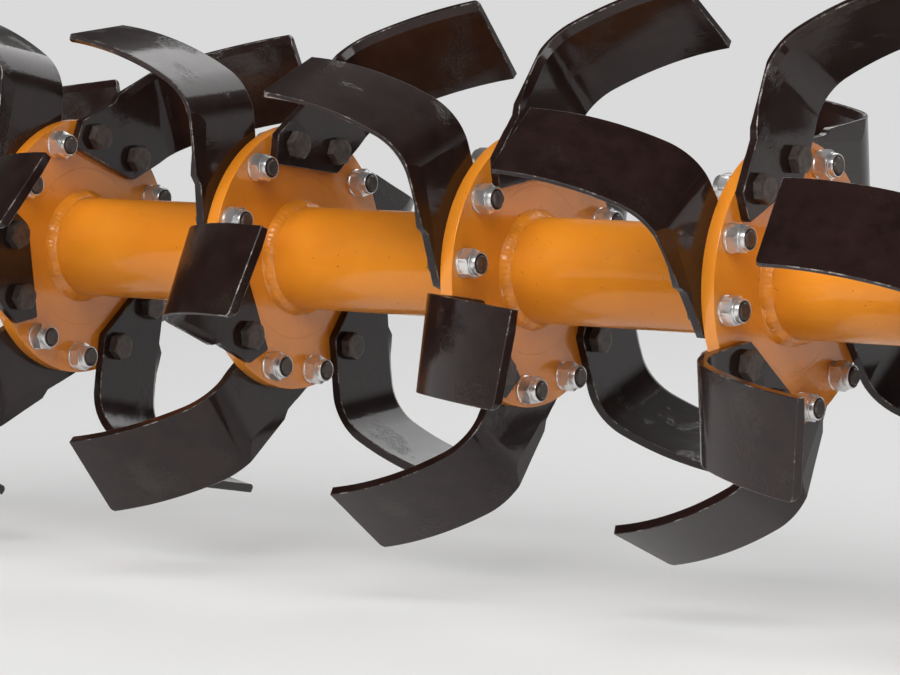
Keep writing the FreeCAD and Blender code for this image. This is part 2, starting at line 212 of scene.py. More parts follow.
# Studio: brightness of the backdrop, of the room's own light, and of what is seen overhead. HORIZON
# is between which heights of view the backdrop darkens. The floor fades into the backdrop between
# two distances from its middle, and NEAR_FADE is how far it has done so up to the first of them.
BACKDROP = 0.70
ROOM = 0.10
CEILING = 0.05
HORIZON = (0.02, 0.3)
FLOOR_HALF = 60
FLOOR_DROP = 45 * MM
FLOOR_MIDDLE = (0.8, 0.0, 0.0)
FLOOR_FADE = (1.0, 4.5)
NEAR_FADE = 0.45

# Soft boxes: place, what it faces, size and power
LIT_CENTRE = (0.8, 0, -0.1)
FRONT_BOX = ((1.5, -4.35, 3.7), LIT_CENTRE, (6.2, 4.3), 470)
STRIP_BOX = ((1.2, -4.0, 3.0), LIT_CENTRE, (3.6, 0.8), 85)
RIGHT_BOX = ((4.2, -1.6, 1.2), LIT_CENTRE, (2.0, 1.6), 40)
BACK_BOX = ((0.6, 2.8, 2.4), (0.8, 0.6, -0.3), (3.4, 1.8), 45)


# Objects and meshes


def new_object(name, data):
    """An object for a mesh, a light or a camera, in the scene."""
    piece = bpy.data.objects.new(name, data)
    bpy.context.scene.collection.objects.link(piece)
    return piece


def mesh_object(name, verts, faces, materials):
    mesh = bpy.data.meshes.new(name)
    mesh.from_pydata([tuple(vert) for vert in verts], [], faces)
    mesh.validate()
    for material in materials:
        mesh.materials.append(material)
    mesh.shade_smooth()
    return new_object(name, mesh)


def smooth_by_angle(mesh, degrees):
    """Smooth shading, with creases where faces meet at more than the angle."""
    mesh.shade_smooth()
    mesh.set_sharp_from_angle(angle=math.radians(degrees))


def keep_flat_normals(piece):
    """Large faces keep their own normal beside narrow rounded edges."""
    modifier = piece.modifiers.new("normals", "WEIGHTED_NORMAL")
    modifier.keep_sharp = True
    modifier.weight = 90


def round_edges(piece, width):
    """Takes the sharpness off a piece's edges."""
    edge = piece.modifiers.new("edge", "BEVEL")
    edge.width = width
    edge.segments = 2
    edge.limit_method = "ANGLE"
    edge.angle_limit = math.radians(EDGE_ANGLE)
    keep_flat_normals(piece)


# Materials

COLOUR_FIRST, COLOUR_SECOND, COLOUR_RESULT = 6, 7, 2    # sockets of a Mix node that mixes colours


class Graph:
    """The nodes of a material or of the world. Most methods add a node and give its output."""

    def __init__(self, owner):
        owner.use_nodes = True
        self.nodes = owner.node_tree.nodes
        self.links = owner.node_tree.links

    def feed(self, socket, value):
        """Links an output to a socket, or sets a fixed value on it."""
        if isinstance(value, bpy.types.NodeSocket):
            self.links.new(value, socket)
        else:
            socket.default_value = value

    def dress(self, node, values):
        for name, value in values.items():
            self.feed(node.inputs[name], value)

    def place(self):
        return self.nodes.new("ShaderNodeTexCoord").outputs["Object"]

    def bar_place(self):
        """A point's place in its blade's own frame, shifted so that no two blades look alike."""
        node = self.nodes.new("ShaderNodeAttribute")
        node.attribute_name = BAR_PLACE
        return node.outputs["Vector"]

    def noise(self, where, scale, detail, roughness=0.55):
        node = self.nodes.new("ShaderNodeTexNoise")
        self.dress(node, {"Scale": scale, "Detail": detail, "Roughness": roughness, "Vector": where})
        return node.outputs["Fac"]

    def stretched(self, vector, scale):
        """Coordinates scaled unevenly, for streaks."""
        node = self.nodes.new("ShaderNodeMapping")
        self.dress(node, {"Scale": scale, "Vector": vector})
        return node.outputs["Vector"]

    def ramp(self, value, low, high, colour_low=BLACK, colour_high=WHITE):
        node = self.nodes.new("ShaderNodeValToRGB")
        stops = node.color_ramp.elements
        stops[0].position, stops[1].position = low, high
        stops[0].color, stops[1].color = colour_low, colour_high
        self.feed(node.inputs["Fac"], value)
        return node.outputs["Color"]

    def scaled(self, value, low, high, start=0.0, end=1.0, course="LINEAR"):
        """Goes from low to high while the value goes from start to end."""
        node = self.nodes.new("ShaderNodeMapRange")
        node.interpolation_type = course
        self.dress(node, {"Value": value, "From Min": start, "From Max": end, "To Min": low, "To Max": high})
        return node.outputs["Result"]

    def mixed(self, factor, first, second):
        """A colour between two, each an output or a fixed colour."""
        node = self.nodes.new("ShaderNodeMix")
        node.data_type = "RGBA"
        self.feed(node.inputs["Factor"], factor)
        self.feed(node.inputs[COLOUR_FIRST], first)
        self.feed(node.inputs[COLOUR_SECOND], second)
        return node.outputs[COLOUR_RESULT]

    def calculated(self, operation, *values):
        node = self.nodes.new("ShaderNodeMath")
        node.operation = operation
        for socket, value in zip(node.inputs, values):
            self.feed(socket, value)
        return node.outputs["Value"]

    def added(self, first, second, weight):
        """first + weight * second, for stacking bump heights."""
        return self.calculated("MULTIPLY_ADD", second, weight, first)

    def axis_distance(self, where):
        """Distance from the rotor axis."""
        node = self.nodes.new("ShaderNodeVectorMath")
        node.operation = "LENGTH"
        self.feed(node.inputs[0], self.stretched(where, (0, 1, 1)))
        return node.outputs["Value"]

    def tool_rings(self, where):
        """Fine rings left by turning a plate, for its bump."""
        node = self.nodes.new("ShaderNodeTexNoise")
        node.noise_dimensions = "1D"
        self.dress(node, {"Scale": 700, "Detail": 2, "W": self.axis_distance(where)})
        return node.outputs["Fac"]

    def turned_groove(self, where):
        """1 in the shallow groove that the lathe leaves round each plate, 0 beside it."""
        return self.calculated("COMPARE", self.axis_distance(where), GROOVE_RADIUS, GROOVE_HALF)

    def seen_directly(self):
        """1 for what the camera, mirrors and glass see, 0 for the light that things throw about."""
        rays = self.nodes.new("ShaderNodeLightPath").outputs
        seen = self.calculated("MAXIMUM", rays["Is Camera Ray"], rays["Is Glossy Ray"])
        return self.calculated("MAXIMUM", seen, rays["Is Transmission Ray"])

    def bump(self, height, distance, shader):
        node = self.nodes.new("ShaderNodeBump")
        self.dress(node, {"Distance": distance, "Strength": 1.0, "Height": height})
        normal = node.outputs["Normal"]
        self.dress(shader, {"Normal": normal, "Coat Normal": normal})

    def end_in_mix(self, share, first, second, output):
        """The graph ends in a mix of two shaders."""
        both = self.nodes.new("ShaderNodeMixShader")
        for socket, value in zip(both.inputs, (share, first, second)):
            self.feed(socket, value)
        self.feed(self.nodes[output].inputs["Surface"], both.outputs["Shader"])


def new_material(name):
    """A material, its graph and its shader."""
    material = bpy.data.materials.new(name)
    graph = Graph(material)
    return material, graph, graph.nodes["Principled BSDF"]


def orange_paint(name, gloss, turned=False):
    """Orange enamel: slow drift of tone, orange peel and a few dust specks, over turned plate with a
    shallow groove where it is a flange."""
    material, graph, shader = new_material(name)
    where = graph.place()
    tone = graph.ramp(graph.noise(where, scale=9, detail=3), 0.35, 0.7, *ORANGE)
    specks = graph.ramp(graph.noise(where, scale=330, detail=1), 0.775, 0.795)
    peel = graph.noise(where, scale=210, detail=2)
    lumps = graph.noise(where, scale=38, detail=2)
    height = graph.added(peel, lumps, 1.6)
    if turned:
        height = graph.added(height, graph.tool_rings(where), 0.5)
        height = graph.added(height, graph.turned_groove(where), -3.0)
    graph.bump(height, 0.12 * MM, shader)
    graph.dress(shader, {
        "Base Color": graph.mixed(specks, tone, SPECK),
        "Roughness": graph.scaled(graph.noise(where, scale=30, detail=4), 0.25, 0.45),
        "Coat Weight": gloss,
        "Coat Roughness": COAT_ROUGHNESS,
        "Specular IOR Level": 0.5 * gloss,
    })
    return material


def blade_enamel():
    """Dark glossy enamel on hot-rolled bar: brown-black mottle and orange peel, with dull dusty
    patches and crinkled ones."""
    material, graph, shader = new_material("blade_enamel")
    where = graph.bar_place()
    mottle = graph.noise(where, scale=45, detail=6, roughness=0.65)
    tone = graph.ramp(mottle, 0.35, 0.72, *BLADE_BLACK)
    grain = graph.noise(where, scale=420, detail=3, roughness=0.6)
    patches = graph.noise(graph.stretched(where, (1, 1, 0.45)), scale=16, detail=3, roughness=0.5)
    dusty = graph.ramp(graph.added(patches, grain, 0.45), 0.82, 0.96)
    crinkled = graph.ramp(graph.noise(where, scale=20, detail=3), 0.56, 0.66)
    wrinkles = graph.ramp(graph.noise(where, scale=260, detail=4, roughness=0.7), 0.42, 0.62)
    height = graph.added(grain, graph.noise(where, scale=28, detail=3), 4.0)
    height = graph.added(height, graph.mixed(crinkled, BLACK, wrinkles), 2.5)
    graph.bump(height, 0.06 * MM, shader)
    graph.dress(shader, {
        "Base Color": graph.mixed(dusty, tone, DUSTY_BLACK),
        "Roughness": graph.scaled(mottle, 0.22, 0.5),
        "Coat Weight": 0.65,
        "Coat Roughness": COAT_ROUGHNESS,
        "Specular IOR Level": 0.1,
    })
    return material


def worn_edge():
    """Blade edges: enamel rubbed through to steel in places."""
    material, graph, shader = new_material("worn_edge")
    wear = graph.ramp(graph.noise(graph.bar_place(), scale=55, detail=6, roughness=0.75), 0.52, 0.66)
    colour = graph.mixed(wear, EDGE_BLACK, BARE_EDGE)
    graph.dress(shader, {"Base Color": colour, "Metallic": wear, "Roughness": 0.28})
    return material


def zinc():
    """Bright zinc plate, a little clouded."""
    material, graph, shader = new_material("zinc")
    where = graph.place()
    tone = graph.ramp(graph.noise(where, scale=160, detail=3), 0.3, 0.75, *ZINC_PLATE)
    roughness = graph.scaled(graph.noise(where, scale=120, detail=2), 0.26, 0.34)
    graph.bump(graph.noise(where, scale=500, detail=2), 0.008 * MM, shader)
    graph.dress(shader, {"Base Color": tone, "Metallic": 0.9, "Roughness": roughness})
    return material


def black_oxide():
    """Dark grey bolt steel, dusty on its faces."""
    material, graph, shader = new_material("black_oxide")
    where = graph.place()
    tone = graph.ramp(graph.noise(where, scale=180, detail=5), 0.3, 0.75, *BOLT_STEEL)
    roughness = graph.scaled(graph.noise(where, scale=240, detail=3), 0.28, 0.5)
    graph.bump(graph.noise(where, scale=700, detail=3), 0.06 * MM, shader)
    graph.dress(shader, {"Base Color": tone, "Metallic": 0.4, "Roughness": roughness})
    return material


def turned_steel():
    """Turned shaft: rings of tool marks round the rotor axis."""
    material, graph, shader = new_material("turned_steel")
    rings = graph.noise(graph.stretched(graph.place(), (60, 1, 1)), scale=60, detail=3)
    tone = graph.ramp(rings, 0.3, 0.75, *SHAFT_STEEL)
    graph.bump(rings, 0.03 * MM, shader)
    graph.dress(shader, {"Base Color": tone, "Metallic": 1.0, "Roughness": graph.scaled(rings, 0.2, 0.4)})
    return material


def seal_rubber():
    """Matt black rubber of the shaft seals, with faint moulding bloom."""
    material, graph, shader = new_material("seal_rubber")
    bloom = graph.noise(graph.place(), scale=90, detail=4)
    tone = graph.ramp(bloom, 0.3, 0.8, *SEAL_BLACK)
    graph.dress(shader, {"Base Color": tone, "Roughness": graph.scaled(bloom, 0.5, 0.75)})
    return material


def pale_floor():
    """Plain pale studio floor that fades into an even backdrop far behind the object."""
    material, graph, shader = new_material("pale_floor")
    graph.dress(shader, {"Base Color": FLOOR_GREY, "Roughness": 0.7, "Specular IOR Level": 0.2})
    backdrop = graph.nodes.new("ShaderNodeEmission")
    graph.dress(backdrop, {"Color": WHITE, "Strength": BACKDROP})
    distance = graph.nodes.new("ShaderNodeVectorMath")
    distance.operation = "DISTANCE"
    graph.feed(distance.inputs[0], graph.nodes.new("ShaderNodeNewGeometry").outputs["Position"])
    graph.feed(distance.inputs[1], FLOOR_MIDDLE)
    fade = graph.scaled(distance.outputs["Value"], NEAR_FADE, 1.0, *FLOOR_FADE, "SMOOTHSTEP")
    share = graph.calculated("MULTIPLY", fade, graph.seen_directly())
    graph.end_in_mix(share, shader.outputs["BSDF"], backdrop.outputs["Emission"], "Material Output")
    return material


PAINT = orange_paint("orange_paint", 0.5)
FLANGE_PAINT = orange_paint("flange_paint", 0.9, turned=True)
ENAMEL = blade_enamel()
WORN = worn_edge()
ZINC = zinc()
OXIDE = black_oxide()
STEEL = turned_steel()
RUBBER = seal_rubber()


# Blades


def bar_depth_point(part, travel, depth):
    """Edge view of the bent bar: a point under its outer face. travel is a length on the leg
    and an angle on the bend and foot."""
    if part == "leg":
        return depth, travel
    bend_x, bend_y = BEND_RADIUS, LEG_LENGTH
    if part == "bend":
        reach = BEND_RADIUS - depth
        return bend_x - reach * math.cos(travel), bend_y + reach * math.sin(travel)
    step = BEND_RADIUS - FOOT_RADIUS
    foot_x = bend_x - step * math.cos(BEND_TURN)
    foot_y = bend_y + step * math.sin(BEND_TURN)
    reach = FOOT_RADIUS - depth
    return foot_x - reach * math.cos(travel), foot_y + reach * math.sin(travel)


CHORD = (math.cos(CHORD_LEAN), math.sin(CHORD_LEAN))
TIP = bar_depth_point("foot", BEND_TURN + FOOT_TURN, 0)
TIP_OFFSET = BAR_OFFSET + SKEW_REACH * math.tan(BAR_SKEW)
EDGE_RISE = math.tan(BAR_SKEW) * math.sin(CHORD_LEAN)       # rise of the leg's edges per unit of Y


def along_chord(x, y):
    """How far a point of the edge view lies along the foot's chord, from the tip."""
    return (x - TIP[0]) * CHORD[0] + (y - TIP[1]) * CHORD[1]


def lane_height(chord, lane):
    """Height above the axis of a lane of the skewed bar."""
    slab_x = (chord + lane * math.sin(BAR_SKEW)) / math.cos(BAR_SKEW)
    return TIP_OFFSET + slab_x * math.sin(BAR_SKEW) + lane * math.cos(BAR_SKEW)


def lead_height(y):
    """The leading edge at a place along the leg, before anything is cut from it."""
    return lane_height(along_chord(0, y), BAR_WIDTH)


GRIND_SLOPE = math.atan(EDGE_RISE) - GRIND_FLARE
GRIND_LINE = lead_height(GRIND_START) - GRIND_WIDTH


def tip_angle(lane, depth):
    """Angle on the foot where a lane meets the tip, rounded at the leading corner. The tip is square
    to the bar as a whole, and the sweep itself ends at its trailing corner."""
    over = max(0.0, lane - (BAR_WIDTH - TIP_ROUND))
    slab_x = math.sqrt(max(0.0, TIP_ROUND ** 2 - over ** 2)) - TIP_ROUND
    chord = slab_x * math.cos(BAR_SKEW) - lane * math.sin(BAR_SKEW)
    centre_x, centre_y = bar_depth_point("foot", 0, 0)
    centre = along_chord(centre_x + FOOT_RADIUS, centre_y)
    return min(math.acos((centre - chord) / (FOOT_RADIUS - depth)) - CHORD_LEAN, BEND_TURN + FOOT_TURN)


def leg_limits(y):
    """Trailing and leading edge of the leg at y, with the root's two cuts and its sloping step."""
    cosine, sine = math.cos(BAR_ANGLE), math.sin(BAR_ANGLE)
    low = max(lane_height(along_chord(0, y), 0), (ROOT_RADIUS - y * cosine) / sine)
    step = lead_height(ROOT_STEP_END) - ROOT_STEP
    slope = step + max(0.0, y - ROOT_STEP_END) * math.tan(ROOT_STEP_SLOPE)
    corner = (ROOT_LEAD + y * sine) / cosine
    return low, min(lead_height(y), slope, corner)


def plane_depth(y, z):
    """How deep the ground flat's plane lies under the leg's outer face."""
    across = math.cos(GRIND_SLOPE) * (z - GRIND_LINE) - math.sin(GRIND_SLOPE) * (y - GRIND_START)
    return math.tan(GRIND_TILT) * across


def cutting_depth(lane, begun):
    """What the cutting edge takes off the inner face at a lane; begun goes from 0 to 1."""
    return max(0.0, lane - EDGE_LANES[0]) * CUTTING_SLOPE * min(1.0, max(0.0, begun))


def ground_lane(part, travel):
    """The lane where the ground flat begins, on the leg and on the start of the bend. Further on
    nothing is ground, and the lane is MID_LANE."""
    if part == "leg":
        y = max(travel, GRIND_START)
        low, high = leg_limits(y)
        line = GRIND_LINE + math.tan(GRIND_SLOPE) * (y - GRIND_START)
        inside = BAR_WIDTH - 2 * BLADE_EDGE
        return BLADE_EDGE + (line - low - BLADE_EDGE) * inside / (high - low - 2 * BLADE_EDGE)
    if part == "foot" or travel > GRIND_RUN_OUT + math.radians(BEND_FINE):
        return MID_LANE
    x, y = bar_depth_point(part, travel, 0)
    rise = x / math.tan(GRIND_TILT) + math.sin(GRIND_SLOPE) * (y - GRIND_START)
    line = GRIND_LINE + rise / math.cos(GRIND_SLOPE)
    lane = (line - TIP_OFFSET - along_chord(x, y) * math.tan(BAR_SKEW)) * math.cos(BAR_SKEW)
    return min(lane, LAST_LANE - 1 * MM)


def outer_lanes(part, travel):
    """Lanes of the outer face: even ones, the start of the ground flat, and closer ones beside the
    leading edge, for the rounding of the foot's corner."""
    start = ground_lane(part, travel)
    squeeze = min(1.0, EDGE_LANES_SHARE * (LAST_LANE - start) / (LAST_LANE - EDGE_LANES[0]))
    edge = [LAST_LANE - (LAST_LANE - lane) * squeeze for lane in EDGE_LANES]
    return [*WIDE_LANES, start, *edge, LAST_LANE]


def edge_turn(degrees):
    """Rounded edge: distance to the edge face and to the broad face, at a turn from the broad one."""
    angle = math.radians(degrees)
    return BLADE_EDGE * (1 - math.sin(angle)), BLADE_EDGE * (1 - math.cos(angle))


def section(lanes):
    """Once round the bar's section: (lane, side, inset from that side's face)."""
    turns = [edge_turn(degrees) for degrees in EDGE_TURNS]
    lead = [(BAR_WIDTH - margin, inset) for margin, inset in turns]
    ring = [(lane, OUTER, 0.0) for lane in lanes]
    ring += [(lane, OUTER, inset) for lane, inset in lead]
    ring += [(lane, INNER, inset) for lane, inset in reversed(lead)]
    ring += [(lane, INNER, 0.0) for lane in reversed(INNER_LANES)]
    ring += [(margin, INNER, inset) for margin, inset in turns]
    ring += [(margin, OUTER, inset) for margin, inset in reversed(turns)]
    return ring


def blade_stations():
    """(part, travel, turn of the rounded end) from the root to the tip. Foot travels are shares of
    the way to the tip."""
    cosine, sine = math.cos(BAR_ANGLE), math.sin(BAR_ANGLE)
    start = ROOT_RADIUS * cosine - ROOT_LEAD * sine + ROOT_TRIM
    corner = ((lead_height(ROOT_STEP_END) - ROOT_STEP) * cosine - ROOT_LEAD) / sine
    slope_end = ROOT_STEP_END + ROOT_STEP / (math.tan(ROOT_STEP_SLOPE) - EDGE_RISE)
    leg = [start + BLADE_EDGE, start + 4 * MM, start + 10 * MM, corner, 40 * MM, 50 * MM, GRIND_START,
           GRIND_START + GRIND_FADE / 2, GRIND_START + GRIND_FADE, 70 * MM, ROOT_STEP_END, 80 * MM,
           slope_end, 94 * MM, 104 * MM, 115 * MM]
    stations = [("leg", start + edge_turn(turn)[0], turn) for turn in reversed(EDGE_TURNS)]
    stations += [("leg", y, 0) for y in leg]
    stations += [("bend", math.radians(angle), 0) for angle in BEND_STEPS]
    stations += [("foot", step / FOOT_STEPS, 0) for step in range(FOOT_STEPS + 1)]
    stations += [("foot", 1.0, turn) for turn in EDGE_TURNS]
    return stations


def leg_point(y, lane, side, inset):
    """A point of the leg. Lanes keep their distance from either edge, and spread evenly between."""
    low, high = leg_limits(y)
    if lane <= BLADE_EDGE:
        z = low + lane
    elif lane >= LAST_LANE:
        z = high - (BAR_WIDTH - lane)
    else:
        share = (lane - BLADE_EDGE) / (BAR_WIDTH - 2 * BLADE_EDGE)
        z = low + BLADE_EDGE + (high - low - 2 * BLADE_EDGE) * share
    if side == INNER:
        return BAR_THICK - inset - cutting_depth(lane, (y - CUTTING_START) / CUTTING_FADE), y, z
    begun = min(1.0, max(0.0, (y - GRIND_START) / GRIND_FADE))
    return max(0.0, plane_depth(y, z)) * begun + inset, y, z


def blade_point(station, lane, side, inset):
    """A point of the right-hand blade in its bar's frame."""
    part, travel, turn = station
    margin, shrink = edge_turn(turn)
    lane = min(max(lane, shrink), BAR_WIDTH - shrink)
    inset = max(inset, shrink)
    if part == "leg":
        return leg_point(travel, lane, side, inset)
    depth = BAR_THICK - inset - cutting_depth(lane, 1) if side == INNER else inset
    angle = travel
    if part == "foot":
        end = tip_angle(lane, depth) - margin / FOOT_RADIUS
        angle = BEND_TURN + (end - BEND_TURN) * travel
    elif side == OUTER:
        x, y = bar_depth_point(part, angle, 0)
        ground = plane_depth(y, lane_height(along_chord(x, y), lane)) - x
        depth += max(0.0, ground) / math.cos(angle)
    x, y = bar_depth_point(part, angle, depth)
    return x, y, lane_height(along_chord(x, y), lane)


def blade_rings(hand):
    """The blade's rings of points in its own frame."""
    turn = Matrix.Rotation(-BAR_ANGLE, 3, "X")
    rings = []
    for station in blade_stations():
        around = section(outer_lanes(*station[:2]))
        points = [turn @ Vector(blade_point(station, *place)) for place in around]
        rings.append([(hand * point.x, point.y, point.z) for point in points])
    return rings


def join_rings(shape, grid):
    """Faces from each ring to the next. Those of the rounded edges take the second material."""
    turns = [station[2] for station in blade_stations()]
    insets = [inset for _, _, inset in section(INNER_LANES)]
    for row in range(len(grid) - 1):
        for column in range(len(insets)):
            ahead = (column + 1) % len(insets)
            corners = (grid[row][column], grid[row][ahead], grid[row + 1][ahead], grid[row + 1][column])
            face = shape.faces.new(corners)
            face.material_index = int(turns[row] != turns[row + 1] or insets[column] != insets[ahead])


def close_ends(shape, grid):
    """Faces across the first ring and the last, between the outer lanes and the inner ones."""
    for ring in (grid[0], grid[-1]):
        for lane in range(len(INNER_LANES) - 1):
            across = INNER_FIRST + len(INNER_LANES) - 1 - lane
            shape.faces.new((ring[lane], ring[lane + 1], ring[across - 1], ring[across]))


def keep_ground_lines(shape, grid):
    """The lines where the ground flat and the cutting edge begin stay sharp."""
    for row, (part, travel, _) in enumerate(blade_stations()[1:]):
        lines = []
        if (part == "leg" and travel > GRIND_START) or (part == "bend" and travel < GRIND_RUN_OUT):
            lines.append(GRIND_COLUMN)
        if part != "leg" or travel > CUTTING_START:
            lines.append(CUTTING_COLUMN)
        for column in lines:
            line = shape.edges.get((grid[row][column], grid[row + 1][column]))
            line.smooth = False


def blade_mesh(name, mirror):
    """One blade in its own frame: X off the flange face, Y along the radius, Z leading."""
    shape = bmesh.new()
    grid = [[shape.verts.new(point) for point in ring] for ring in blade_rings(-1 if mirror else 1)]
    join_rings(shape, grid)
    close_ends(shape, grid)
    keep_ground_lines(shape, grid)
    bmesh.ops.remove_doubles(shape, verts=shape.verts, dist=0.01 * MM)
    bmesh.ops.recalc_face_normals(shape, faces=shape.faces)
    for face in shape.faces:
        face.smooth = True
    for edge in shape.edges:
        if len(edge.link_faces) == 2 and edge.calc_face_angle() > math.radians(BLADE_CREASE):
            edge.smooth = False
    mesh = bpy.data.meshes.new(name)
    shape.to_mesh(mesh)
    shape.free()
    mesh.materials.append(ENAMEL)
    mesh.materials.append(WORN)
    return mesh


def keep_bar_place(mesh, shift):
    """Keeps each point's place in the blade's own frame, with a shift, before the blade is placed."""
    place = mesh.attributes.new(BAR_PLACE, "FLOAT_VECTOR", "POINT")
    place.data.foreach_set("vector", [value for vertex in mesh.vertices for value in vertex.co + shift])


def flange_place(number):
    """Left and right face of a flange, along X."""
    low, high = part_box(f"blade_flange_{number}")
    middle = (low.x + high.x) / 2
    return middle - FLANGE_THICK / 2, middle + FLANGE_THICK / 2


def blade_angle(number, side, turn):
    lag = SIDE_LAG if side == "right" else 0
    return math.radians(FLANGE_PHASE + (number - 1) * HELIX_STEP + lag + (turn - 1) * 120)


def blades():
    """(flange number, side, turn) of each blade that the frame has."""
    for number in range(1, FLANGES + 1):
        for side in ("left", "right"):
            for turn in (1, 2, 3):
                if f"blade_{number}_{side}_{turn}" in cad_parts:
                    yield number, side, turn


def add_blades():
    meshes = {"left": blade_mesh("blade_left", True), "right": blade_mesh("blade_right", False)}
    draw = random.Random(SEED + 2)
    for number, side, turn in blades():
        left_face, right_face = flange_place(number)
        node = f"blade_{number}_{side}_{turn}"
        piece = new_object(f"bent_{node}", meshes[side].copy())
        keep_bar_place(piece.data, Vector([draw.uniform(0, PLACE_SPREAD) for _ in range(3)]))
        face = left_face if side == "left" else right_face
        place = Matrix.Translation((face, 0, 0)) @ Matrix.Rotation(blade_angle(number, side, turn), 4, "X")
        piece.data.transform(place)
        keep_flat_normals(piece)
        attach(piece, "rotor")
        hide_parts(node)


# Round pieces: each is a stack of rings about Z, and a ring gives (radius, height) at an angle


def circles(*places):
    """Plain rings, each from its (radius, height)."""
    return [lambda angle, place=place: place for place in places]


def hexagon_radius(angle, across):
    sixth = math.pi / 3
    return across / 2 / math.cos((angle % sixth) - sixth / 2)


def chamfer(across, edge_radius, height, direction):
    """Where a hexagon meets the cone that rounds its corners off."""
    def ring(angle):
        radius = hexagon_radius(angle, across)
        return radius, height + direction * max(0.0, radius - edge_radius) * CHAMFER_SLOPE
    return ring


def stacked(rings, steps=ROUND_STEPS, tube=False):
    """Verts and faces of a stack of rings. It is capped at both ends, or goes back to its first ring
    if it is a tube."""
    verts, faces = [], []
    for ring in rings:
        for step in range(steps):
            angle = 2 * math.pi * step / steps
            radius, height = ring(angle)
            verts.append((radius * math.cos(angle), radius * math.sin(angle), height))
    count = len(rings)
    for level in range(count if tube else count - 1):
        low, high = level * steps, (level + 1) % count * steps
        for here in range(steps):
            ahead = (here + 1) % steps
            faces.append((low + here, low + ahead, high + ahead, high + here))
    if not tube:
        faces.append(tuple(range(steps))[::-1])
        faces.append(tuple(range((count - 1) * steps, count * steps)))
    return verts, faces


def hex_head(bolt):
    """Chamfered head on its washer face."""
    across, height = bolt["across"], bolt["head"]
    flat = across / 2 * HEAD_FACE
    step = 0.6 * MM
    return stacked([
        *circles((CLOSING, 0), (flat, 0), (flat, step)),
        chamfer(across, across, step, 1), chamfer(across, flat, height, -1),
        *circles((flat, height), (flat * 0.8, height - 0.15 * MM), (CLOSING, height - 0.2 * MM))])


def lock_nut(bolt):
    """Foot ring, hexagon chamfered at both ends, then the stepped collar that holds the nylon."""
    across, hexagon, height, wall = (bolt[key] for key in ("across", "hex", "nut", "collar"))
    foot, ring = bolt["foot"], bolt["ring"]
    flat = across / 2 * NUT_FACE
    edge = 0.4 * MM
    return stacked([
        *circles((CLOSING, 0), (foot - edge, 0), (foot, edge), (foot, ring - edge), (foot - edge, ring)),
        chamfer(across, flat, ring, 1), chamfer(across, flat, hexagon, -1),
        *circles((flat, hexagon), (wall + 0.8 * MM, hexagon + 0.2 * MM),
                 (wall + 0.8 * MM, hexagon + 1.3 * MM), (wall + 0.1 * MM, hexagon + 1.7 * MM),
                 (wall, height - 0.8 * MM),
                 (wall - 0.3 * MM, height - 0.2 * MM), (wall - 0.8 * MM, height),
                 (wall - 1.2 * MM, height - 0.2 * MM), (wall - 1.35 * MM, height - 1.5 * MM),
                 (CLOSING, height - 1.6 * MM))])


def bolt_end(bolt, stand_out):
    """The nylon in the nut's collar, and the bolt's chamfered end standing out of it."""
    height, shank, nylon = bolt["nut"], bolt["shank"], bolt["collar"] - 1.4 * MM
    end = height + stand_out
    chamfered = 1.2 * MM
    return stacked(circles(
        (CLOSING, height - 3 * MM), (nylon, height - 3 * MM), (nylon, height - 1.3 * MM),
        (shank + 0.5 * MM, height - 0.9 * MM), (shank, height - 1.2 * MM), (shank, end - chamfered),
        (shank - chamfered, end), (CLOSING, end)))


class Cluster:
    """Like small pieces gathered into one mesh."""

    def __init__(self):
        self.verts = []
        self.faces = []

    def add(self, solid, place=Matrix()):
        """Adds a solid, given as its verts and faces, at a place."""
        verts, faces = solid
        start = len(self.verts)
        self.verts += [place @ Vector(vert) for vert in verts]
        self.faces += [[start + index for index in face] for face in faces]

    def finish(self, name, body, slot, material, crease=ROUND_CREASE):
        piece = mesh_object(name, self.verts, self.faces, [material])
        smooth_by_angle(piece.data, crease)
        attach(piece, body)


def facing(x, y, z, outward, spin):
    """Stands a piece that was made about +Z on a face whose outward side is +X or -X."""
    tilt = Matrix.Rotation(math.pi / 2 * outward, 4, "Y")
    return Matrix.Translation((x, y, z)) @ tilt @ Matrix.Rotation(spin, 4, "Z")


# Bolts and nuts


def blade_bolt_places(number, side, turn):
    half = math.asin(BOLT_HALF_GAP / BOLT_CIRCLE)
    for offset in (-half, half):
        angle = blade_angle(number, side, turn) + offset
        yield BOLT_CIRCLE * math.cos(angle), BOLT_CIRCLE * math.sin(angle)


def add_blade_bolts():
    """Heads on the blades, lock nuts on the flange's other face."""
    draw = random.Random(SEED)
    for number in range(1, FLANGES + 1):
        heads, nuts = Cluster(), Cluster()
        left_face, right_face = flange_place(number)
        for _, side, turn in (blade for blade in blades() if blade[0] == number):
            outward = -1 if side == "left" else 1
            head_x = left_face - BAR_THICK if side == "left" else right_face + BAR_THICK
            nut_x = right_face if side == "left" else left_face
            for y, z in blade_bolt_places(number, side, turn):
                head_at = facing(head_x, y, z, outward, draw.uniform(0, math.pi / 3))
                nut_at = facing(nut_x, y, z, -outward, draw.uniform(0, math.pi / 3))
                heads.add(hex_head(BLADE_BOLT), head_at)
                heads.add(bolt_end(BLADE_BOLT, draw.uniform(*BLADE_BOLT_ENDS) * MM), nut_at)
                nuts.add(lock_nut(BLADE_BOLT), nut_at)
        heads.finish(f"blade_bolts_{number}", "rotor", "bolt_black", OXIDE)
        nuts.finish(f"lock_nuts_{number}", "rotor", "zinc", ZINC)


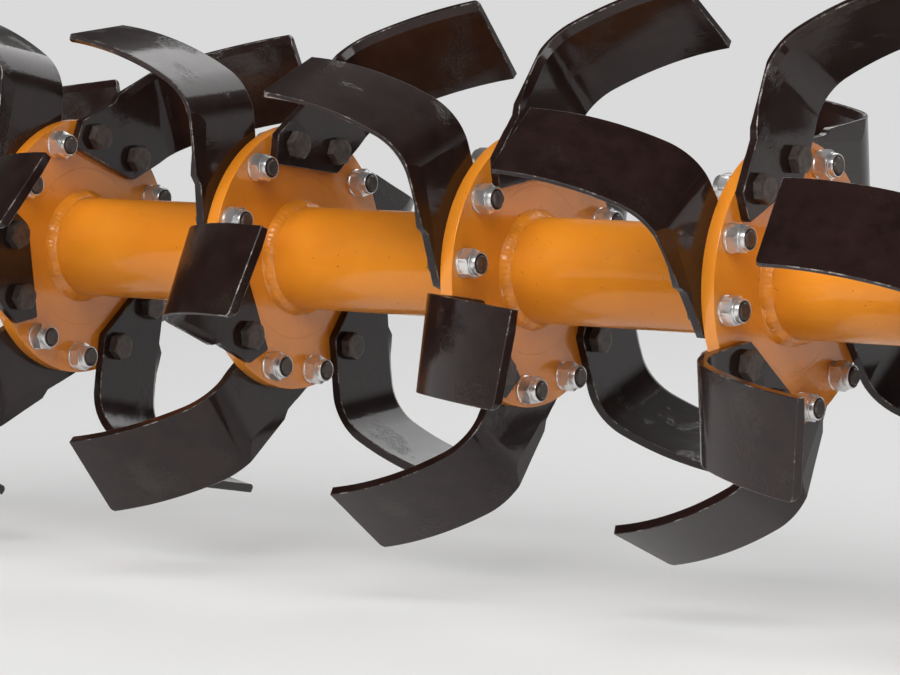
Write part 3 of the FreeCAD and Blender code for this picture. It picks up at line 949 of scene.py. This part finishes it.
def add_seat_bolts():
    """The ring of bolts through each stub shaft's flange and end flange."""
    for side, outward in (("left", -1), ("right", 1)):
        heads, nuts = Cluster(), Cluster()
        low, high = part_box(f"{side}_end_flange")
        joint_x = low.x if side == "left" else high.x
        for step in range(SEAT_BOLTS):
            angle = 2 * math.pi * (step + 0.5) / SEAT_BOLTS
            y, z = SEAT_CIRCLE * math.cos(angle), SEAT_CIRCLE * math.sin(angle)
            head_at = facing(joint_x + outward * SEAT_THICK, y, z, outward, angle)
            nut_at = facing(joint_x - outward * SEAT_THICK, y, z, -outward, angle)
            heads.add(hex_head(SEAT_BOLT), head_at)
            heads.add(bolt_end(SEAT_BOLT, SEAT_BOLT_END), nut_at)
            nuts.add(lock_nut(SEAT_BOLT), nut_at)
        heads.finish(f"{side}_seat_bolts", "rotor", "bolt_black", OXIDE)
        nuts.finish(f"{side}_seat_nuts", "rotor", "zinc", ZINC)


# Welds


def weld_point(share, drift, ripple_turn):
    """How far a weld's surface stands off the face and off the tube. share goes from 0 at its foot
    on the face to 1 at its foot on the tube, and either foot sinks into the metal."""
    crown = math.sin(math.pi * share)
    ripple = RIPPLE_HEIGHT * crown * math.sin(ripple_turn + RIPPLE_STRAY * drift / MM + RIPPLE_BOW * crown)
    swell = (WELD_CROWN + SWELL_DRIFT * drift) * crown + ripple
    out = share * (WELD_RUN + drift) + swell * SWELL_OUT - WELD_SINK * (share == 0)
    up = (1 - share) * (WELD_FACE + drift) + swell * SWELL_UP - WELD_SINK * (share == 1)
    return out, up


def weld_ring(x, outward, radius, draw):
    """Verts and faces of a lumpy fillet weld round the tube, against a face at x."""
    waves = []
    for _ in range(WELD_WAVES):
        count, shift = draw.randint(*WAVE_COUNTS), draw.uniform(0, 2 * math.pi)
        waves.append((count, shift, draw.uniform(*WAVE_SIZES) * MM))
    ripples = round(2 * math.pi * radius / RIPPLE_PITCH)
    verts, faces = [], []
    for step in range(WELD_STEPS):
        angle = 2 * math.pi * step / WELD_STEPS
        drift = sum(size * math.sin(count * angle + shift) for count, shift, size in waves)
        for lane in range(WELD_LANES + 1):
            out, up = weld_point(lane / WELD_LANES, drift, ripples * angle)
            ring = radius + up
            verts.append((x + outward * out, ring * math.cos(angle), ring * math.sin(angle)))
    width = WELD_LANES + 1
    for step in range(WELD_STEPS):
        here, ahead = step * width, (step + 1) % WELD_STEPS * width
        quads = [(here + lane, ahead + lane, ahead + lane + 1, here + lane + 1) for lane in range(WELD_LANES)]
        quads.append((here, here + WELD_LANES, ahead + WELD_LANES, ahead))
        faces += [quad if outward > 0 else quad[::-1] for quad in quads]
    return verts, faces


def add_welds():
    """Welds on both sides of each blade flange, and at the tube's ends."""
    draw = random.Random(SEED + 1)
    low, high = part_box("rotor_tube")
    welds = {}
    for number in range(1, FLANGES + 1):
        left_face, right_face = flange_place(number)
        welds[f"flange_welds_{number}"] = ((left_face, -1), (right_face, 1))
    welds["end_welds"] = ((low.x, 1), (high.x, -1))
    for name, seams in welds.items():
        cluster = Cluster()
        for x, outward in seams:
            cluster.add(weld_ring(x, outward, high.z, draw))
        cluster.finish(name, "rotor", "orange_paint", PAINT, WELD_CREASE)


# The solids that stay


def soften(piece, material):
    """Paints a solid of the frame and takes the sharpness off its edges."""
    piece.data.materials.clear()
    piece.data.materials.append(material)
    weld = piece.modifiers.new("join", "WELD")
    weld.merge_threshold = 0.005 * MM
    flat = piece.modifiers.new("flat", "DECIMATE")
    flat.decimate_type = "DISSOLVE"
    flat.angle_limit = math.radians(0.5)
    round_edges(piece, SOLID_EDGE)


def dress_solids():
    for name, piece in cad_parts.items():
        if name.startswith("blade_flange") or name.endswith("end_flange"):
            soften(piece, FLANGE_PAINT)
        elif name.endswith("stub_shaft"):
            soften(piece, STEEL)
        elif not name.startswith("blade_"):
            soften(piece, PAINT)


# Bearing ends


def seal():
    """Lip seal: a case with a rounded rim, and a lip that comes forward round the journal."""
    return stacked(circles(
        (SEAL_OUTER, 0.2 * MM), (SEAL_OUTER, SEAL_DEPTH - 0.6 * MM), (SEAL_OUTER - 0.6 * MM, SEAL_DEPTH),
        (SEAL_OUTER - 4 * MM, SEAL_DEPTH), (SEAL_OUTER - 5 * MM, SEAL_DEPTH - 1.6 * MM),
        (SEAL_INNER + 3 * MM, SEAL_DEPTH - 1.8 * MM), (SEAL_INNER + 0.8 * MM, SEAL_DEPTH - 0.4 * MM),
        (SEAL_INNER, SEAL_DEPTH - 0.6 * MM), (SEAL_INNER, 0.2 * MM)), SEAL_STEPS, tube=True)


def grease_nipple():
    """Hexagon, neck and ball."""
    flat = NIPPLE_ACROSS / 2 * NUT_FACE
    neck = [(2.4, 4.9), (2.2, 7.5)]
    ball = [(3.1, 8.6), (3.3, 9.6), (2.7, 11), (1.4, 11.8), (0.2, 11.9)]
    return stacked([
        *circles((CLOSING, 0), (flat, 0)),
        chamfer(NIPPLE_ACROSS, flat, 0, 1), chamfer(NIPPLE_ACROSS, flat, NIPPLE_HEXAGON, -1),
        *circles((flat, NIPPLE_HEXAGON), *((radius * MM, height * MM) for radius, height in neck + ball))])


def barrel_ends():
    """(side, X of the barrel's inner end, direction in which it faces) of each bearing housing."""
    for side, outward in (("left", 1), ("right", -1)):
        low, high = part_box(f"{side}_bearing_housing")
        yield side, high.x if side == "left" else low.x, outward


def add_seals():
    """Lip seal in each barrel's end, round the journal."""
    for side, face, outward in barrel_ends():
        cluster = Cluster()
        cluster.add(seal(), facing(face - outward * SEAL_DEPTH, 0, 0, outward, 0))
        cluster.finish(f"{side}_shaft_seal", f"{side}_bearing", "seal_rubber", RUBBER)


def add_grease_nipples():
    """Grease nipple on the boss of each housing."""
    for side, face, outward in barrel_ends():
        cluster = Cluster()
        place = Matrix.Translation((face - outward * NIPPLE_BACK, 0, NIPPLE_HEIGHT))
        cluster.add(grease_nipple(), place)
        cluster.finish(f"{side}_grease_nipple", f"{side}_bearing", "zinc", ZINC)


def add_key():
    """Key in the drive end's keyway, flat at the shaft's end and round at the other."""
    _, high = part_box("drive_stub_shaft")
    radius = KEY_WIDTH / 2 - KEY_GAP
    outline = [(high.x - KEY_SET_BACK, -radius), (high.x - KEY_SET_BACK, radius)]
    for degrees in range(90, 271, 15):
        angle = math.radians(degrees)
        outline.append((high.x - KEY_LENGTH + radius * math.cos(angle), radius * math.sin(angle)))
    count = len(outline)
    verts = [(x, y, KEY_FLOOR + lift) for lift in (KEY_GAP, KEY_HEIGHT) for x, y in outline]
    faces = [tuple(range(count))[::-1], tuple(range(count, 2 * count))]
    faces += [(n, (n + 1) % count, count + (n + 1) % count, count + n) for n in range(count)]
    key = mesh_object("drive_key", verts, faces, [STEEL])
    round_edges(key, KEY_EDGE)
    smooth_by_angle(key.data, EDGE_ANGLE)
    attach(key, "rotor")


# Camera, light and floor


def add_camera():
    data = bpy.data.cameras.new("camera")
    data.sensor_width = SENSOR
    data.lens = FOCAL_PX / PICTURE_PX * SENSOR
    data.clip_end = CLIP_END
    camera = new_object("camera", data)
    camera.location = CAMERA_PLACE
    camera.rotation_euler = (math.radians(90 - CAMERA_DIP), 0, math.radians(CAMERA_TURN))
    bpy.context.scene.camera = camera


def area_light(name, place, target, size, power):
    data = bpy.data.lights.new(name, "AREA")
    data.shape = "RECTANGLE"
    data.size, data.size_y = size
    data.energy = power
    light = new_object(name, data)
    light.location = place
    light.rotation_euler = (Vector(target) - Vector(place)).to_track_quat("-Z", "Y").to_euler()
    return light


def studio_room():
    """A dim room, dark overhead and pale at the horizon where it is seen directly."""
    world = bpy.data.worlds.new("studio")
    bpy.context.scene.world = world
    graph = Graph(world)
    dim = graph.nodes["Background"]
    graph.dress(dim, {"Color": WHITE, "Strength": ROOM})
    direction = graph.nodes.new("ShaderNodeSeparateXYZ")
    graph.feed(direction.inputs[0], graph.nodes.new("ShaderNodeTexCoord").outputs["Generated"])
    brightness = graph.scaled(direction.outputs["Z"], BACKDROP, CEILING, *HORIZON, "SMOOTHSTEP")
    seen = graph.nodes.new("ShaderNodeBackground")
    graph.dress(seen, {"Color": WHITE, "Strength": brightness})
    rooms = (dim.outputs["Background"], seen.outputs["Background"])
    graph.end_in_mix(graph.seen_directly(), *rooms, "World Output")


def add_light():
    """A large soft box in front that gloss doesn't mirror, a strip before it that only gloss mirrors,
    a weaker box on the right and a faint one behind."""
    studio_room()
    front = area_light("front", *FRONT_BOX)
    front.visible_glossy = False
    strip = area_light("strip", *STRIP_BOX)
    strip.visible_diffuse = False
    area_light("right", *RIGHT_BOX)
    area_light("behind", *BACK_BOX)


def add_floor():
    drop = CAD_BOX[0].z - FLOOR_DROP
    corners = [(x * FLOOR_HALF, y * FLOOR_HALF, drop) for x, y in ((-1, -1), (1, -1), (1, 1), (-1, 1))]
    floor = mesh_object("floor", corners, [(0, 1, 2, 3)], [pale_floor()])


add_camera()
dress_solids()
add_blades()
add_blade_bolts()
add_seat_bolts()
add_welds()
add_seals()
add_grease_nipples()
add_key()
add_light()
add_floor()

bpy.context.scene.view_settings.view_transform = "Standard"
